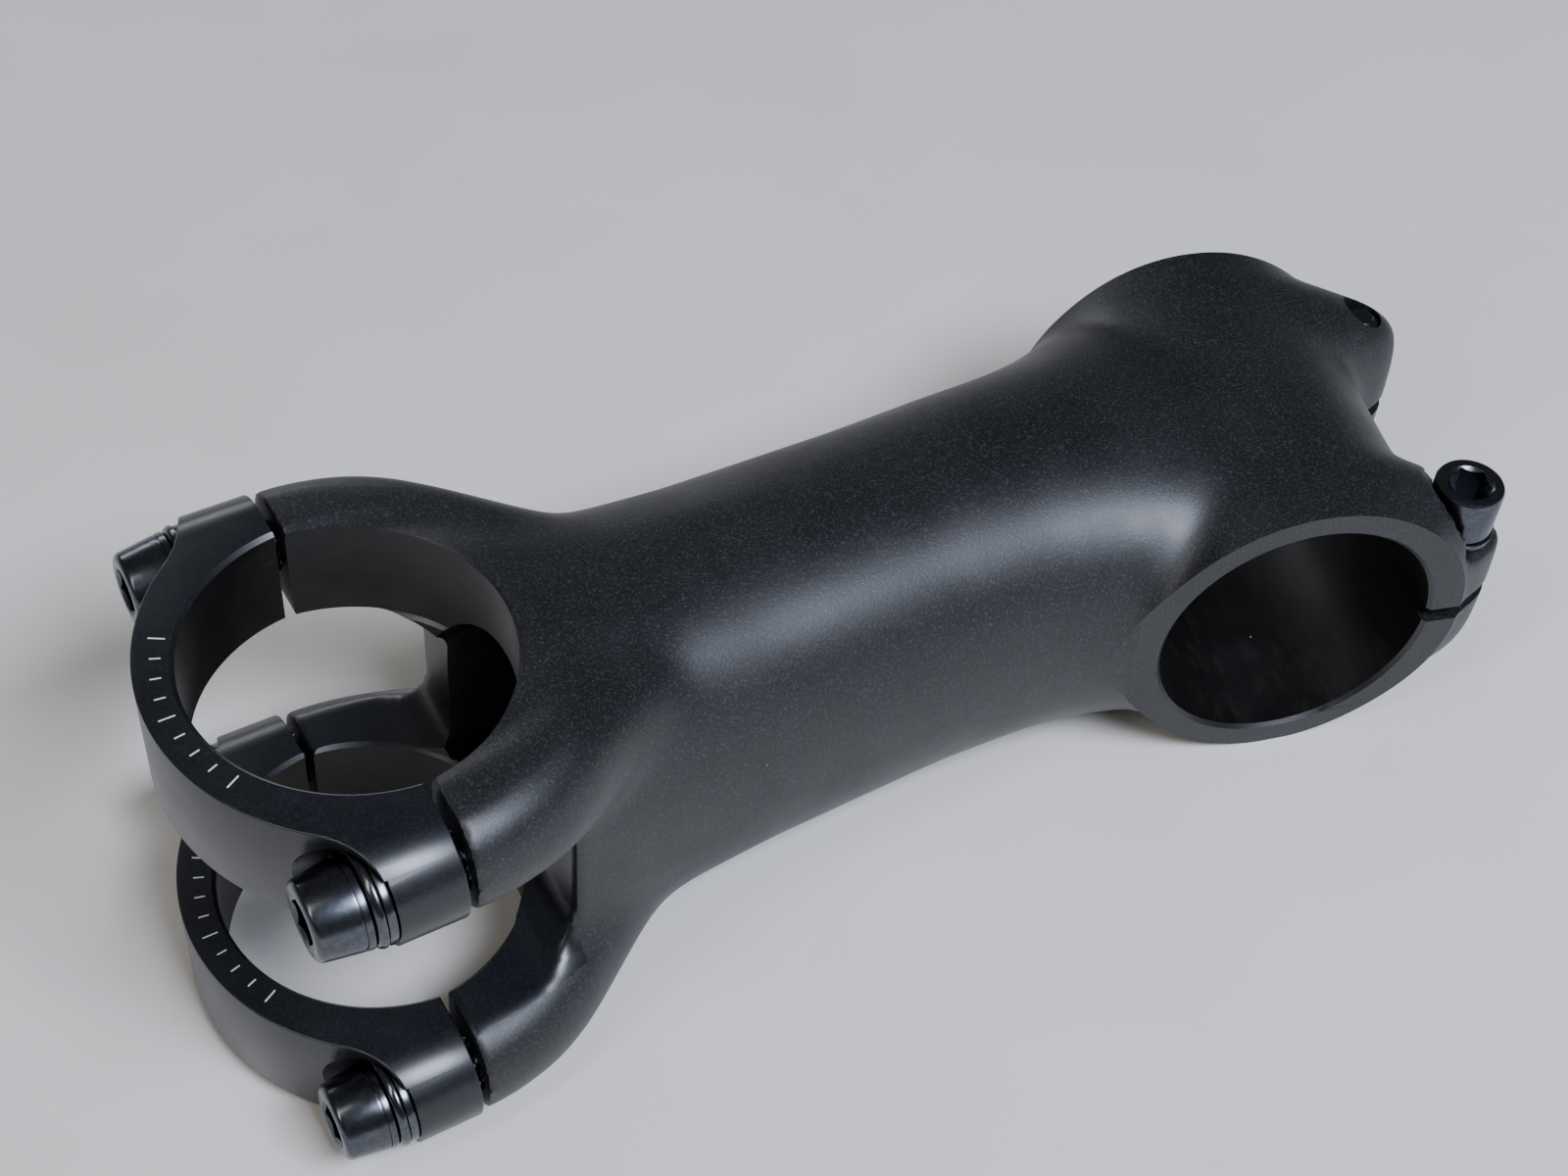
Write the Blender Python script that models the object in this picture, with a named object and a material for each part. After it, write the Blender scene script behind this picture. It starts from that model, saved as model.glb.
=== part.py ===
"""Threadless bicycle handlebar stem, lying on its side.

The stem is modelled in metres with +Z along the handlebar's axis. A hollow forged body clamps the fork's
steerer tube at one end, with two bolts through a split at its back, and the handlebar at the other end,
under two half-ring caps with two bolts each. Each cap bolt has a dished and a flat washer, and each steerer
bolt has a thin one.

Three frames are used: the row frame, which the objects are in; the stem frame, whose origin is where the
steerer axis meets the clamp's mid-plane; and the arm frame, which has its origin on the handlebar axis, its
first axis along the arm towards the steerer, its second across the arm and its third along the handlebar.
"""

import math

import bmesh
import bpy
from mathutils import Matrix, Vector

MM = 0.001

# Driving dimensions.
REACH = 100.0 * MM              # handlebar axis to steerer axis, along the arm
ARM_ANGLE = math.radians(17.0)  # between the arm and the square to the steerer
ARM_OFFSET = 4.6 * MM           # how far past the clamp's mid-plane the arm's axis meets the steerer axis
STEERER_BORE_R = 14.3 * MM      # for a 28.6 mm steerer tube
BAR_BORE_R = 15.9 * MM          # for a 31.8 mm handlebar
CLAMP_HEIGHT = 40.0 * MM        # length of the steerer clamp along the steerer
BAR_CLAMP_WIDTH = 43.5 * MM     # over both rings of the handlebar clamp
RING_WIDTH = 11.7 * MM          # of each ring
GAP = 0.3 * MM                  # round a bolt in its hole or its washer

# The handlebar end.
HALF_WIDTH = BAR_CLAMP_WIDTH / 2
WINDOW_HALF = HALF_WIDTH - RING_WIDTH
RING_MID = (HALF_WIDTH + WINDOW_HALF) / 2
SPLIT_BODY = 1.9 * MM           # where the body's half rings end, along the arm
SPLIT_CAP = 1.0 * MM            # where the caps end: they are drawn in, with no handlebar mounted
CAP_DRAW_IN = 2.6 * MM          # how far each cap is drawn in from where it sits round a handlebar
CAP_OUTER_R = 22.2 * MM         # of the caps' outer sides, which are flatter than their bores
CAP_OUTER_MID = 5.4 * MM        # and the middle of that curve, along the arm
CAP_BOLT_OFFSET = 20.4 * MM     # cap bolt axes from the arm's axis
BOSS_END = 25.0 * MM            # half the width over both bosses, whose ends are fully round
BOSS_FACE = -5.2 * MM           # where the cap bosses' seats are, along the arm
WINDOW_END = 14.6 * MM
WINDOW_CORNER = 5.5 * MM

# The steerer end.
BARREL_R = 17.2 * MM
LUG_X = 18.4 * MM               # steerer bolt axes, behind the steerer axis
LUG_Y = 14.0 * MM               # steerer bolt axes, from the clamp's mid-plane
LUG_BACK = 22.9 * MM
LUG_SEAT = 6.4 * MM             # height of the steerer bolts' seats above the split
SLOT_HALF = 0.9 * MM

# Fasteners: an M5 for the caps, and an M4 for the steerer clamp.
CAP_BOLT_R = 2.5 * MM
CAP_BOLT_END = 7.0 * MM         # where the cap bolts end, along the arm
CAP_HEAD_TIP = -12.0 * MM
CAP_HEAD_BASE = -7.2 * MM
CAP_HEAD_TIP_R = 3.7 * MM
CAP_HEAD_BASE_R = 4.3 * MM
CAP_SEAT_R = 5.15 * MM          # of the seats the caps have for the washers
CAP_SOCKET = 4.0 * MM           # across flats
STEERER_BOLT_R = 2.0 * MM
STEERER_BOLT_END = -10.8 * MM   # height of the bolt's tip, for a head that is up
STEERER_HEAD_R = 3.55 * MM
STEERER_HEAD_HEIGHT = 5.4 * MM
STEERER_SOCKET = 4.0 * MM

SEGMENTS = 28
BORE_SEGMENTS = 56

# The row frame: its origin is under the middle of the object's box, on the surface that it lies on.
BAR_X = -REACH * math.cos(ARM_ANGLE)
BAR_Y = ARM_OFFSET - REACH * math.sin(ARM_ANGLE)
TIP_SIDE = CAP_BOLT_OFFSET + CAP_HEAD_TIP_R
BOX_LEFT = BAR_X + CAP_HEAD_TIP * math.cos(ARM_ANGLE) - TIP_SIDE * math.sin(ARM_ANGLE)
BOX_RIGHT = LUG_BACK
BOX_NEAR = BAR_Y + CAP_HEAD_TIP * math.sin(ARM_ANGLE) - TIP_SIDE * math.cos(ARM_ANGLE)
BOX_FAR = CLAMP_HEIGHT / 2
STEM_ORIGIN = Vector((-(BOX_LEFT + BOX_RIGHT) / 2, -(BOX_NEAR + BOX_FAR) / 2, HALF_WIDTH))
STEM_FRAME = Matrix.Translation(STEM_ORIGIN)
ARM_FRAME = STEM_FRAME @ Matrix.Translation((BAR_X, BAR_Y, 0)) @ Matrix.Rotation(ARM_ANGLE, 4, "Z")


def clear_scene():
    """Remove what a new file comes with."""
    for item in list(bpy.data.objects):
        bpy.data.objects.remove(item)


def make_material(name, color, metallic, roughness):
    """A Principled material of one finish."""
    material = bpy.data.materials.new(name)
    material.use_nodes = True
    shader = material.node_tree.nodes["Principled BSDF"]
    shader.inputs["Base Color"].default_value = (*color, 1.0)
    shader.inputs["Metallic"].default_value = metallic
    shader.inputs["Roughness"].default_value = roughness
    return material


def make_object(name, bm, frame, material=None):
    """Turn bm, drawn in frame, into an object whose origin is that frame's."""
    bmesh.ops.recalc_face_normals(bm, faces=bm.faces)
    mesh = bpy.data.meshes.new(name)
    bm.to_mesh(mesh)
    bm.free()
    item = bpy.data.objects.new(name, mesh)
    bpy.context.scene.collection.objects.link(item)
    item.matrix_world = frame
    if material:
        mesh.materials.append(material)
        mesh.shade_smooth()
        mesh.set_sharp_from_angle(angle=math.radians(30))
    return item


def make_cutter(name, bm, frame):
    """An object that only cuts others."""
    item = make_object(name, bm, frame)
    item.hide_render = True
    item.display_type = "WIRE"
    return item


def cut(item, cutter, operation="DIFFERENCE", solver="EXACT"):
    """Cut item with cutter, or join it to cutter by another operation."""
    modifier = item.modifiers.new(cutter.name, "BOOLEAN")
    modifier.operation = operation
    modifier.solver = solver
    modifier.object = cutter


def loft(bm, rings):
    """Join rings of points, which all have the same count, into one closed skin."""
    made = [[bm.verts.new(point) for point in ring] for ring in rings]
    count = len(made[0])
    for low, high in zip(made, made[1:]):
        for i in range(count):
            j = (i + 1) % count
            bm.faces.new((low[i], low[j], high[j], high[i]))
    bm.faces.new(list(reversed(made[0])))
    bm.faces.new(made[-1])


def oval(along, across, up, power, middle=(0.0, 0.0), count=32):
    """A superellipse square to the first axis; a power of 2 is an ellipse and more is squarer."""
    points = []
    for i in range(count):
        turn = 2 * math.pi * i / count
        c, s = math.cos(turn), math.sin(turn)
        y = across * math.copysign(abs(c) ** (2 / power), c)
        z = up * math.copysign(abs(s) ** (2 / power), s)
        points.append((along, middle[0] + y, middle[1] + z))
    return points


def turned(bm, profile, count=SEGMENTS):
    """Turn a profile of (along, radius) pairs about the first axis; its ends are flat discs."""
    loft(bm, [oval(along, radius, radius, 2, count=count) for along, radius in profile])


def block(bm, low, high):
    """A box between two corners."""
    size = [b - a for a, b in zip(low, high)]
    middle = [(a + b) / 2 for a, b in zip(low, high)]
    place = Matrix.Translation(middle) @ Matrix.Diagonal((*size, 1.0))
    bmesh.ops.create_cube(bm, size=1.0, matrix=place)


def extruded(bm, outline, bottom, top):
    """Extrude an outline of (first, second) pairs along the third axis."""
    loft(bm, [[(x, y, z) for x, y in outline] for z in (bottom, top)])


def arc(middle, radius, start, end, count):
    """Points on an arc between two angles in degrees."""
    turns = [math.radians(start + (end - start) * i / count) for i in range(count + 1)]
    return [(middle[0] + radius * math.cos(t), middle[1] + radius * math.sin(t)) for t in turns]


def upright(x, y):
    """A frame at (x, y) in the stem frame whose first axis points up."""
    return STEM_FRAME @ Matrix.Translation((x, y, 0)) @ Matrix.Rotation(-math.pi / 2, 4, "Y")


def hanging(x, y):
    """A frame at (x, y) in the stem frame whose first axis points down."""
    return STEM_FRAME @ Matrix.Translation((x, y, 0)) @ Matrix.Rotation(math.pi / 2, 4, "Y")


def arm_at(across, up):
    """A frame whose first axis is parallel to the arm's."""
    return ARM_FRAME @ Matrix.Translation((0, across, up))


STEERER_FRAME = STEM_FRAME @ Matrix.Rotation(math.pi / 2, 4, "Z")
BAR_FRAME = ARM_FRAME @ Matrix.Rotation(-math.pi / 2, 4, "Y")


def add_part(bm, part, frame):
    """Add a closed skin, drawn in its own frame, to bm, which is in the arm frame."""
    bmesh.ops.transform(part, matrix=ARM_FRAME.inverted() @ frame, verts=part.verts)
    mesh = bpy.data.meshes.new("part")
    part.to_mesh(mesh)
    part.free()
    bm.from_mesh(mesh)
    bpy.data.meshes.remove(mesh)


def forge_arm(bm):
    """The arm, which widens to the rings' width at the handlebar end."""
    stations = (
        # along, across, half height, half width, power
        (-3.0, 0.0, 17.0, 22.6, 5.0),
        (8.0, 0.0, 17.0, 22.6, 4.6),
        (15.0, 0.0, 16.8, 21.9, 3.8),
        (21.0, 0.0, 16.5, 20.6, 3.1),
        (28.0, 0.0, 16.3, 19.2, 2.6),
        (38.0, 0.0, 16.2, 18.5, 2.4),
        (58.0, 0.0, 16.1, 18.1, 2.3),
        (69.0, -0.2, 16.6, 18.0, 2.3),
        (76.0, -1.0, 17.5, 17.9, 2.3),
        (82.0, -2.0, 19.4, 17.7, 2.3),
        (88.0, -2.6, 22.2, 17.4, 2.3),
        (100.0, -2.0, 23.0, 15.0, 2.3),
    )
    rings = []
    for s, n, a, b, power in stations:
        rings.append(oval(s * MM, a * MM, b * MM, power, (n * MM, 0.0)))
    loft(bm, rings)


def forge_prongs(bm):
    """Four rounded prongs that run out of the arm to the cap bolts."""
    stations = (
        # along, across, up, half height, half width
        (-4.0, 19.1, 15.9, 5.9, 6.2),
        (5.0, 18.6, 15.9, 6.0, 6.3),
        (10.0, 17.3, 15.7, 6.1, 6.4),
        (14.0, 15.4, 15.2, 6.1, 6.5),
        (18.0, 12.8, 14.3, 6.0, 6.5),
        (23.0, 9.8, 12.9, 5.7, 6.3),
        (28.0, 7.4, 11.4, 5.3, 5.9),
        (35.0, 5.2, 9.8, 4.4, 5.2),
    )
    for side in (-1, 1):
        for level in (-1, 1):
            rings = []
            for s, n, z, a, b in stations:
                middle = (side * n * MM, level * z * MM)
                rings.append(oval(s * MM, a * MM, b * MM, 2.1, middle, 20))
            loft(bm, rings)


def forge_barrel(bm):
    """The steerer clamp's barrel and its two lugs, longer than they end up."""
    barrel = bmesh.new()
    spare = 4 * MM
    half = CLAMP_HEIGHT / 2 + spare
    turned(barrel, [(-half, BARREL_R), (half, BARREL_R)], 48)
    add_part(bm, barrel, STEERER_FRAME)
    stations = (
        # along, from the clamp's mid-plane, half length, half height
        (4.0, 12.0, 10.0, 13.8),
        (10.0, 12.6, 9.2, 13.4),
        (14.0, 13.4, 7.9, 12.8),
        (17.5, 14.0, 5.9, 11.9),
        (20.2, 14.0, 4.7, 11.2),
        (22.2, 14.0, 3.2, 10.2),
        (23.4, 14.0, 1.8, 9.0),
    )
    for side in (-1, 1):
        lug = bmesh.new()
        rings = []
        for x, y, half_length, half_height in stations:
            middle = (side * y * MM, 0.0)
            rings.append(oval(x * MM, half_length * MM, half_height * MM, 2.8, middle, 24))
        loft(lug, rings)
        add_part(bm, lug, STEM_FRAME)


def forge_body(material):
    """The forging: its parts run into each other under one smoothed skin."""
    bm = bmesh.new()
    forge_arm(bm)
    forge_prongs(bm)
    forge_barrel(bm)
    body = make_object("stem_body", bm, ARM_FRAME, material)
    skin = body.modifiers.new("one_skin", "REMESH")
    skin.mode = "VOXEL"
    skin.voxel_size = 1.1 * MM
    skin.use_smooth_shade = True
    blend = body.modifiers.new("blended", "SMOOTH")
    blend.factor = 0.5
    blend.iterations = 26
    coarse = body.modifiers.new("coarse", "DECIMATE")
    coarse.ratio = 0.12
    return body


def trim_body(body):
    """Machine the flat faces: the rings' sides, the split, the barrel's ends and the lugs' backs."""
    far = 60 * MM
    for name, level in (("upper_side", 1), ("lower_side", -1)):
        bm = bmesh.new()
        low, high = sorted((level * HALF_WIDTH, level * far))
        block(bm, (-far, -far, low), (far, far, high))
        cut(body, make_cutter(name, bm, ARM_FRAME))
    bm = bmesh.new()
    block(bm, (-far, -far, -far), (SPLIT_BODY, far, far))
    cut(body, make_cutter("split_face", bm, ARM_FRAME))
    for name, side in (("far_end", 1), ("near_end", -1)):
        bm = bmesh.new()
        low, high = sorted((side * CLAMP_HEIGHT / 2, side * far))
        block(bm, (-23 * MM, low, -far), (far, high, far))
        cut(body, make_cutter(name, bm, STEM_FRAME))
    bm = bmesh.new()
    block(bm, (LUG_BACK, -far, -far), (far, far, far))
    cut(body, make_cutter("lug_backs", bm, STEM_FRAME))


def bore_body(body):
    """Cut the two bores, the window between the rings and the hollow in the arm."""
    far = 40 * MM
    bm = bmesh.new()
    turned(bm, [(-far, BAR_BORE_R), (far, BAR_BORE_R)], BORE_SEGMENTS)
    cut(body, make_cutter("bar_bore", bm, BAR_FRAME))

    bm = bmesh.new()
    turned(bm, [(-far, STEERER_BORE_R), (far, STEERER_BORE_R)], BORE_SEGMENTS)
    cut(body, make_cutter("steerer_bore", bm, STEERER_FRAME))

    bm = bmesh.new()
    end, half, r = WINDOW_END, WINDOW_HALF, WINDOW_CORNER
    outline = [(-10 * MM, -half)]
    outline += arc((end - r, -half + r), r, -90, 0, 6)
    outline += arc((end - r, half - r), r, 0, 90, 6)
    outline += [(-10 * MM, half)]
    extruded(bm, outline, -far, far)
    cut(body, make_cutter("window", bm, ARM_FRAME @ Matrix.Rotation(math.pi / 2, 4, "X")))

    bm = bmesh.new()
    stations = (
        # along, half height, half width
        (6.0, 10.2, 14.4),
        (18.0, 10.6, 14.2),
        (36.0, 11.2, 13.2),
        (66.0, 11.0, 12.6),
        (76.0, 9.6, 11.0),
        (80.0, 6.0, 7.0),
    )
    loft(bm, [oval(s * MM, a * MM, b * MM, 2.3, count=32) for s, a, b in stations])
    cut(body, make_cutter("arm_hollow", bm, ARM_FRAME))


def drill_body(body):
    """Cut the split at the back, and the bolts' holes and seats."""
    far = 40 * MM
    bm = bmesh.new()
    block(bm, (10 * MM, -far, -SLOT_HALF), (far, far, SLOT_HALF))
    cut(body, make_cutter("back_split", bm, STEM_FRAME))

    for name, frame in steerer_bolt_frames():
        bm = bmesh.new()
        hole = STEERER_BOLT_R + GAP
        seat = STEERER_HEAD_R + 1.1 * MM
        turned(bm, [(-far, hole), (LUG_SEAT, hole), (LUG_SEAT, seat), (far, seat)])
        cut(body, make_cutter("hole_" + name, bm, frame))
    for name, side in (("near", -1), ("far", 1)):
        bm = bmesh.new()
        low, high = sorted((side * LUG_Y, side * far))
        bottom, top = sorted((-side * LUG_SEAT, -side * far))
        block(bm, (LUG_X - 1.2 * MM, low, bottom), (far, high, top))
        cut(body, make_cutter("open_seat_" + name, bm, STEM_FRAME))

    for name, frame in cap_bolt_frames():
        bm = bmesh.new()
        hole = CAP_BOLT_R + GAP
        depth = CAP_BOLT_END + 1.6 * MM
        turned(bm, [(-5 * MM, hole), (depth - hole / 2, hole), (depth, hole / 4)], 24)
        cut(body, make_cutter("hole_" + name, bm, frame), solver="MANIFOLD")


def steerer_bolt_frames():
    """The steerer bolts' names and frames; the first axis points out of the head's end."""
    yield "near", upright(LUG_X, -LUG_Y)
    yield "far", hanging(LUG_X, LUG_Y)


def cap_bolt_frames():
    """The cap bolts' names and frames; the first axis points into the body."""
    for level_name, level in (("upper", 1), ("lower", -1)):
        for side_name, side in (("near", -1), ("far", 1)):
            yield f"{level_name}_{side_name}", arm_at(side * CAP_BOLT_OFFSET, level * RING_MID)


def make_cap(name, level, material):
    """A half ring that flares into a round-ended boss at each end."""
    half = RING_WIDTH / 2
    frame = ARM_FRAME @ Matrix.Translation((0, 0, level * RING_MID))
    near_flare = [(-7.8 * MM, -18.1 * MM), (-6.5 * MM, -20.2 * MM), (-5.8 * MM, -21.6 * MM)]
    near_flare.append((BOSS_FACE, -23.4 * MM))
    far_flare = [(s, -n) for s, n in reversed(near_flare)]
    bm = bmesh.new()
    outline = [(SPLIT_CAP, 30 * MM), (BOSS_FACE, 30 * MM)] + far_flare
    outline += arc((CAP_OUTER_MID, 0), CAP_OUTER_R, 132, 228, 32)
    outline += near_flare + [(BOSS_FACE, -30 * MM), (SPLIT_CAP, -30 * MM)]
    extruded(bm, outline, -half, half)
    cap = make_object(name, bm, frame, material)

    bm = bmesh.new()
    middle = BOSS_END - half
    profile = arc((-middle, 0), half, 90, 270, 16) + arc((middle, 0), half, -90, 90, 16)
    loft(bm, [[(s, n, z) for n, z in profile] for s in (-30 * MM, 10 * MM)])
    cut(cap, make_cutter(name + "_ends", bm, frame), "INTERSECT")

    bm = bmesh.new()
    turned(bm, [(-20 * MM, BAR_BORE_R), (20 * MM, BAR_BORE_R)], BORE_SEGMENTS)
    bore_frame = frame @ Matrix.Translation((CAP_DRAW_IN, 0, 0)) @ Matrix.Rotation(-math.pi / 2, 4, "Y")
    cut(cap, make_cutter(name + "_bore", bm, bore_frame))
    for side_name, side in (("near", -1), ("far", 1)):
        bm = bmesh.new()
        hole, seat = CAP_BOLT_R + GAP, CAP_SEAT_R
        turned(bm, [(-30 * MM, seat), (BOSS_FACE, seat), (BOSS_FACE, hole), (5 * MM, hole)])
        seat_frame = frame @ Matrix.Translation((0, side * CAP_BOLT_OFFSET, 0))
        cut(cap, make_cutter(f"{name}_seat_{side_name}", bm, seat_frame))


def cut_socket(bolt, frame, flats, mouth, floor):
    """Cut a hexagon socket between two places along the bolt."""
    bm = bmesh.new()
    corner = flats / 2 / math.cos(math.pi / 6)
    turned(bm, sorted([(mouth, corner), (floor, corner)]), 6)
    cut(bolt, make_cutter(bolt.name + "_socket", bm, frame))


def make_cap_bolts(steel, washer_steel):
    """The four cap bolts, which have tapered heads, each with a dished and a flat washer."""
    for name, frame in cap_bolt_frames():
        tip, base = CAP_HEAD_TIP, CAP_HEAD_BASE
        bm = bmesh.new()
        profile = [
            (tip, CAP_HEAD_TIP_R - 0.4 * MM),
            (tip + 0.4 * MM, CAP_HEAD_TIP_R),
            (base - 0.2 * MM, CAP_HEAD_BASE_R),
            (base, CAP_HEAD_BASE_R - 0.2 * MM),
            (base, CAP_BOLT_R),
            (CAP_BOLT_END - 0.6 * MM, CAP_BOLT_R),
            (CAP_BOLT_END, CAP_BOLT_R - 0.6 * MM),
        ]
        turned(bm, profile)
        bolt = make_object(f"cap_bolt_{name}", bm, frame, steel)
        cut_socket(bolt, frame, CAP_SOCKET, tip - 2 * MM, tip + 3.2 * MM)

        hole = CAP_BOLT_R + GAP
        start = base + 0.1 * MM
        middle = (start + BOSS_FACE - 0.1 * MM) / 2
        make_washer(f"dished_washer_{name}", frame, hole, washer_steel,
                    [(start, 4.25 * MM), (middle - 0.3 * MM, 4.6 * MM), (middle - 0.05 * MM, 4.5 * MM)])
        make_washer(f"flat_washer_{name}", frame, hole, washer_steel,
                    [(middle + 0.05 * MM, 4.4 * MM), (BOSS_FACE - 0.1 * MM, 4.4 * MM)])


def make_washer(name, frame, hole, material, rim):
    """A ring whose outer side follows the rim's (along, radius) pairs."""
    bm = bmesh.new()
    rings = [oval(along, radius, radius, 2, count=24) for along, radius in rim]
    rings += [oval(rim[-1][0], hole, hole, 2, count=24), oval(rim[0][0], hole, hole, 2, count=24)]
    made = [[bm.verts.new(point) for point in ring] for ring in rings]
    for low, high in zip(made, made[1:] + made[:1]):
        for i in range(24):
            j = (i + 1) % 24
            bm.faces.new((low[i], low[j], high[j], high[i]))
    return make_object(name, bm, frame, material)


def make_steerer_bolts(steel, washer_steel):
    """The two bolts that close the steerer clamp, from opposite sides."""
    washer = 0.8 * MM
    under = LUG_SEAT + washer + 0.2 * MM
    top = under + STEERER_HEAD_HEIGHT
    for name, frame in steerer_bolt_frames():
        bm = bmesh.new()
        profile = [
            (STEERER_BOLT_END, STEERER_BOLT_R - 0.5 * MM),
            (STEERER_BOLT_END + 0.5 * MM, STEERER_BOLT_R),
            (under, STEERER_BOLT_R),
            (under, STEERER_HEAD_R),
            (top - 0.4 * MM, STEERER_HEAD_R),
            (top, STEERER_HEAD_R - 0.4 * MM),
        ]
        turned(bm, profile)
        bolt = make_object(f"steerer_bolt_{name}", bm, frame, steel)
        cut_socket(bolt, frame, STEERER_SOCKET, top - 2.2 * MM, top + 2 * MM)
        low, high = LUG_SEAT + 0.1 * MM, under - 0.1 * MM
        rim = STEERER_HEAD_R + 0.25 * MM
        make_washer(f"steerer_washer_{name}", frame, STEERER_BOLT_R + GAP, washer_steel,
                    [(low, rim), (high, rim)])


def main():
    """Build every piece."""
    clear_scene()
    matte = make_material("matte_black", (0.022, 0.023, 0.026), 0.1, 0.55)
    satin = make_material("satin_black", (0.018, 0.021, 0.027), 0.3, 0.38)
    steel = make_material("black_steel", (0.02, 0.02, 0.022), 0.9, 0.2)
    washer_steel = make_material("dark_steel", (0.05, 0.05, 0.055), 0.9, 0.25)
    body = forge_body(matte)
    trim_body(body)
    bore_body(body)
    drill_body(body)
    make_cap("bar_cap_upper", 1, satin)
    make_cap("bar_cap_lower", -1, satin)
    make_cap_bolts(steel, washer_steel)
    make_steerer_bolts(steel, washer_steel)


main()
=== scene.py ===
"""A bicycle handlebar stem lying on its side: a hollow forging, two handlebar caps, and their bolts.

Lengths are in metres. +Z is along the handlebar's axis. Most pieces are drawn in the arm frame: its origin is
on the handlebar's axis, its first axis runs along the arm towards the steerer, its second across the arm and
its third along the handlebar. The others are drawn in the stem frame, whose origin is on the steerer's axis.
"""

import logging
import math
from dataclasses import dataclass, field
from enum import Enum
from typing import Sequence

import bmesh
import bpy
from mathutils import Matrix, Vector


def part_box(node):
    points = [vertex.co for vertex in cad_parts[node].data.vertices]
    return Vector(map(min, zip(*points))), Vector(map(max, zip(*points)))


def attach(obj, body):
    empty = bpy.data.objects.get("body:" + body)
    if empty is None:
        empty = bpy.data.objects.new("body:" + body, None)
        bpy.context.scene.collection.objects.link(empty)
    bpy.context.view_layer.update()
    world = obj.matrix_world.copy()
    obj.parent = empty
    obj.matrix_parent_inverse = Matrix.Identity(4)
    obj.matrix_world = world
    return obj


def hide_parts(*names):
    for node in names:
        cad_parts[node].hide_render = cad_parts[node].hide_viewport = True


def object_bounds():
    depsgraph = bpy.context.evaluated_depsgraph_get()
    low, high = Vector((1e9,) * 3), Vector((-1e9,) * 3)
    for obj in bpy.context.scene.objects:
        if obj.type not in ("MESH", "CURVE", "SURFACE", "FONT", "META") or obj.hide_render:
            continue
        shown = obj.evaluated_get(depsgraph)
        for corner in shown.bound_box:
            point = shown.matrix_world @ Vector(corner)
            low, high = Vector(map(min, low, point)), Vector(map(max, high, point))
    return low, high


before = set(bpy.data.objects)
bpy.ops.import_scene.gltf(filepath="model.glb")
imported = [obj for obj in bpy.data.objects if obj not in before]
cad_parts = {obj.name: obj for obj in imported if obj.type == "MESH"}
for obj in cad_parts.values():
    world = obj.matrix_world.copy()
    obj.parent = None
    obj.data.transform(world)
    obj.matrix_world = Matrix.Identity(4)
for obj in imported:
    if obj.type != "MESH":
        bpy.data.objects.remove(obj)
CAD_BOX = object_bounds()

LOG = logging.getLogger("stem")
MM = 0.001
Pair = tuple[float, float]
Point = tuple[float, float, float]
Ring = list[Point]


class Solver(Enum):
    """How a Boolean modifier works out its cut."""

    EXACT = "EXACT"
    MANIFOLD = "MANIFOLD"


class Side(Enum):
    """Which side of the arm a bolt is on: towards the front of the view, or away from it."""

    NEAR = -1
    FAR = 1


class Level(Enum):
    """Which of the handlebar clamp's two rings a piece belongs to."""

    UPPER = 1
    LOWER = -1


# --- Workbench: the few operations that every piece is made with.


def deselect_all() -> None:
    """Leave nothing selected."""
    if bpy.context.mode != "OBJECT":
        bpy.ops.object.mode_set(mode="OBJECT")
    bpy.ops.object.select_all(action="DESELECT")


def activate(piece: bpy.types.Object) -> None:
    """Select one piece alone and make it the active one."""
    deselect_all()
    piece.select_set(True)
    bpy.context.view_layer.objects.active = piece


def arc(middle: Pair, radius: float, start: float, end: float, count: int) -> list[Pair]:
    """Points on an arc.

    Args:
        middle: The arc's centre.
        radius: Its radius.
        start: The angle of its first point, in degrees.
        end: The angle of its last point, in degrees.
        count: How many steps it is drawn in.

    Returns:
        count + 1 pairs of coordinates.
    """
    turns = [math.radians(start + (end - start) * step / count) for step in range(count + 1)]
    return [(middle[0] + radius * math.cos(turn), middle[1] + radius * math.sin(turn)) for turn in turns]


def oval(along: float, across: float, up: float, power: float, middle: Pair = (0.0, 0.0),
         count: int = 64) -> Ring:
    """A superellipse square to the first axis: a power of 2 is an ellipse, and more is squarer.

    Args:
        along: Where the ring is along the first axis.
        across: Its half size along the second axis.
        up: Its half size along the third axis.
        power: Its exponent.
        middle: Its centre, along the second and third axes.
        count: How many points it has.

    Returns:
        The ring's points.
    """
    points = []
    for step in range(count):
        turn = 2 * math.pi * step / count
        c, s = math.cos(turn), math.sin(turn)
        y = across * math.copysign(abs(c) ** (2 / power), c)
        z = up * math.copysign(abs(s) ** (2 / power), s)
        points.append((along, middle[0] + y, middle[1] + z))
    return points


def circles(profile: Sequence[Pair], count: int = 64) -> list[Ring]:
    """The rings of a turned shape, from (along, radius) pairs."""
    return [oval(along, radius, radius, 2, count=count) for along, radius in profile]


def chamfered(radius: float, half: float, edge: float, reach: float) -> list[Pair]:
    """The profile of a cutter for a bore that is chamfered at both ends.

    Args:
        radius: The bore's radius.
        half: Half the bore's length.
        edge: The chamfers' width.
        reach: How far the cutter reaches each way.

    Returns:
        Its (along, radius) pairs.
    """
    wide = radius + edge
    side = [(half - edge, radius), (half, wide), (reach, wide)]
    return [(-along, size) for along, size in reversed(side)] + side


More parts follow.
